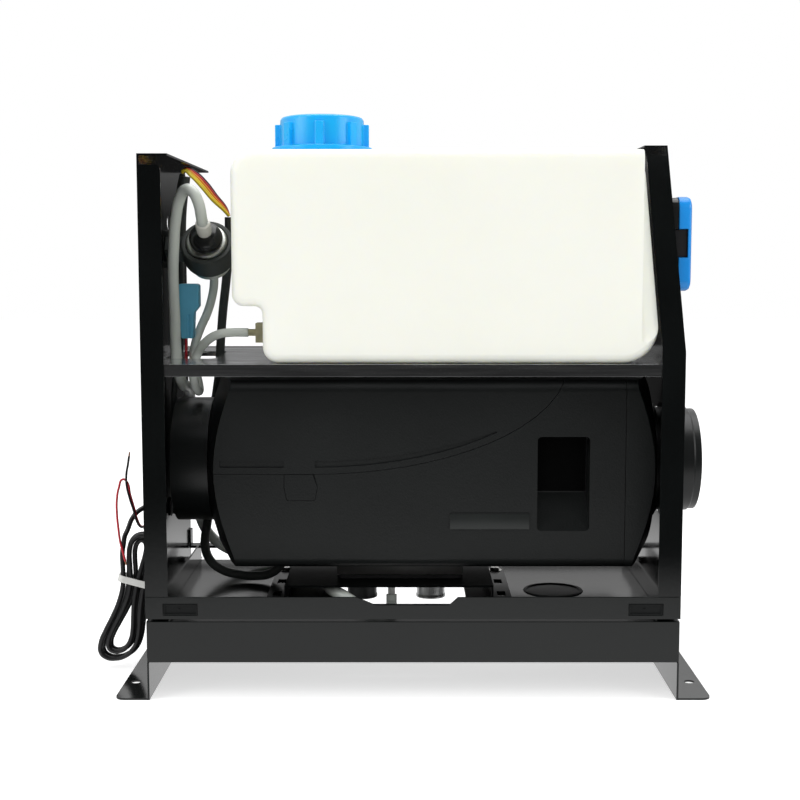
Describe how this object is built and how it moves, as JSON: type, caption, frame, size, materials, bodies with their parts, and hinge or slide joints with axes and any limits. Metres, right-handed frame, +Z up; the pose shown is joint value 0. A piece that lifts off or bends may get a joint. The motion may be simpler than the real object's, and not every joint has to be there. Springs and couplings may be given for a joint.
{
  "type": "diesel air heater",
  "caption": "Portable diesel air heater: open black sheet-metal frame on a stand, plastic fuel tank on a shelf, heater unit below, dosing pump, hoses, side controller and a tied power cord.",
  "frame": {"origin": "on the floor under the middle of the heater, feet down", "axes": "+X to the right, towards the warm-air outlet; +Y to the back; +Z up"},
  "size_m": [0.4824, 0.214, 0.442],
  "materials": {
    "frame_paint": "gloss black powder coat",
    "galvanized_sheet": "bright zinc",
    "tank_plastic": "translucent cream polyethylene",
    "cap_plastic": "moulded azure",
    "casing_plastic": "fine matt grain",
    "black_plastic": "satin",
    "black_rubber": "matt",
    "bright_steel": "turned",
    "cast_aluminium": "as cast",
    "fitting_brass": "satin",
    "hose_plastic": "milky translucent",
    "loom_sleeve": "satin",
    "cord_rubber": "satin",
    "wire_red": "satin",
    "wire_yellow": "satin",
    "connector_plastic": "satin",
    "tie_plastic": "satin",
    "controller_plastic": "gloss blue",
    "screen_window": "dark glossy window"
  },
  "bodies": {
    "frame": {"stand_left_leg": "frame_paint", "stand_right_leg": "frame_paint", "stand_front_panel": "frame_paint", "base_tray": "frame_paint", "rear_tie_bar": "frame_paint", "left_end_panel": "frame_paint", "right_end_panel": "frame_paint", "saddle_plate": "frame_paint", "pump_bracket": "frame_paint", "shelf": "galvanized_sheet", "fuel_tank": "tank_plastic", "heater_upper_shell": "casing_plastic", "heater_lower_shell": "casing_plastic", "shell_clip": "casing_plastic", "outlet_hood": "casing_plastic", "outlet_collar": "casing_plastic", "inlet_ring": "casing_plastic", "inlet_guard": "black_plastic", "control_unit": "black_plastic", "lip_insert_left": "black_plastic", "lip_insert_right": "black_plastic", "pump_end_cap": "black_plastic", "controller_base": "black_plastic", "intake_stub": "black_plastic", "pump_holder": "black_rubber", "cord_grommet": "black_rubber", "mount_gasket": "black_rubber", "pump_body": "bright_steel", "fan_motor": "bright_steel", "burner": "bright_steel", "glow_plug": "bright_steel", "exhaust_stub": "bright_steel", "heat_exchanger": "cast_aluminium", "blower_housing": "cast_aluminium", "tank_outlet_fitting": "fitting_brass", "fuel_hose_outlet": "hose_plastic", "fuel_hose_supply": "hose_plastic", "fuel_stub": "hose_plastic", "wiring_loom": "loom_sleeve", "supply_loom": "loom_sleeve", "power_cord": "cord_rubber", "power_cord_hank": "cord_rubber", "black_wire_end": "cord_rubber", "red_wire_end": "wire_red", "red_leads": "wire_red", "signal_wires": "wire_yellow", "blue_connector": "connector_plastic", "cable_tie": "tie_plastic", "controller_bezel": "controller_plastic", "controller_screen": "screen_window"},
    "fan_rotor": {"fan_impeller": "black_plastic", "motor_shaft": "bright_steel", "combustion_wheel": "black_plastic"},
    "cap_lifter": {"cap_seal": "black_rubber"},
    "cap": {"tank_cap": "cap_plastic"},
    "pump_piston": {"pump_plunger": "bright_steel"},
    "button_1": {"controller_button_1": "controller_plastic"},
    "button_2": {"controller_button_2": "controller_plastic"},
    "button_3": {"controller_button_3": "controller_plastic"},
    "button_4": {"controller_button_4": "controller_plastic"}
  },
  "joints": [
    {"name": "fan_spin", "type": "hinge", "parent": "frame", "child": "fan_rotor", "pos_m": [-0.14175, 0, 0.168], "axis": [1, 0, 0], "continuous": true},
    {"name": "cap_lift", "type": "slide", "parent": "frame", "child": "cap_lifter", "axis": [0, 0, 1], "range_m": [0, 0.018]},
    {"name": "cap_turn", "type": "hinge", "parent": "cap_lifter", "child": "cap", "pos_m": [-0.07375, 0, 0.43], "axis": [0, 0, 1], "range_deg": [0, 1080]},
    {"name": "pump_stroke", "type": "slide", "parent": "frame", "child": "pump_piston", "axis": [0, -0.8192, 0.5736], "range_m": [0, 0.002], "stiffness_N_per_m": 600},
    {"name": "button_1_press", "type": "slide", "parent": "frame", "child": "button_1", "axis": [-1, 0, 0], "range_m": [0, 0.0007], "stiffness_N_per_m": 400},
    {"name": "button_2_press", "type": "slide", "parent": "frame", "child": "button_2", "axis": [-1, 0, 0], "range_m": [0, 0.0007], "stiffness_N_per_m": 400},
    {"name": "button_3_press", "type": "slide", "parent": "frame", "child": "button_3", "axis": [-1, 0, 0], "range_m": [0, 0.0007], "stiffness_N_per_m": 400},
    {"name": "button_4_press", "type": "slide", "parent": "frame", "child": "button_4", "axis": [-1, 0, 0], "range_m": [0, 0.0007], "stiffness_N_per_m": 400}
  ],
  "couplings": [
    {"joint": "cap_lift", "follows": "cap_turn", "m_per_rad": 0.00095492}
  ]
}
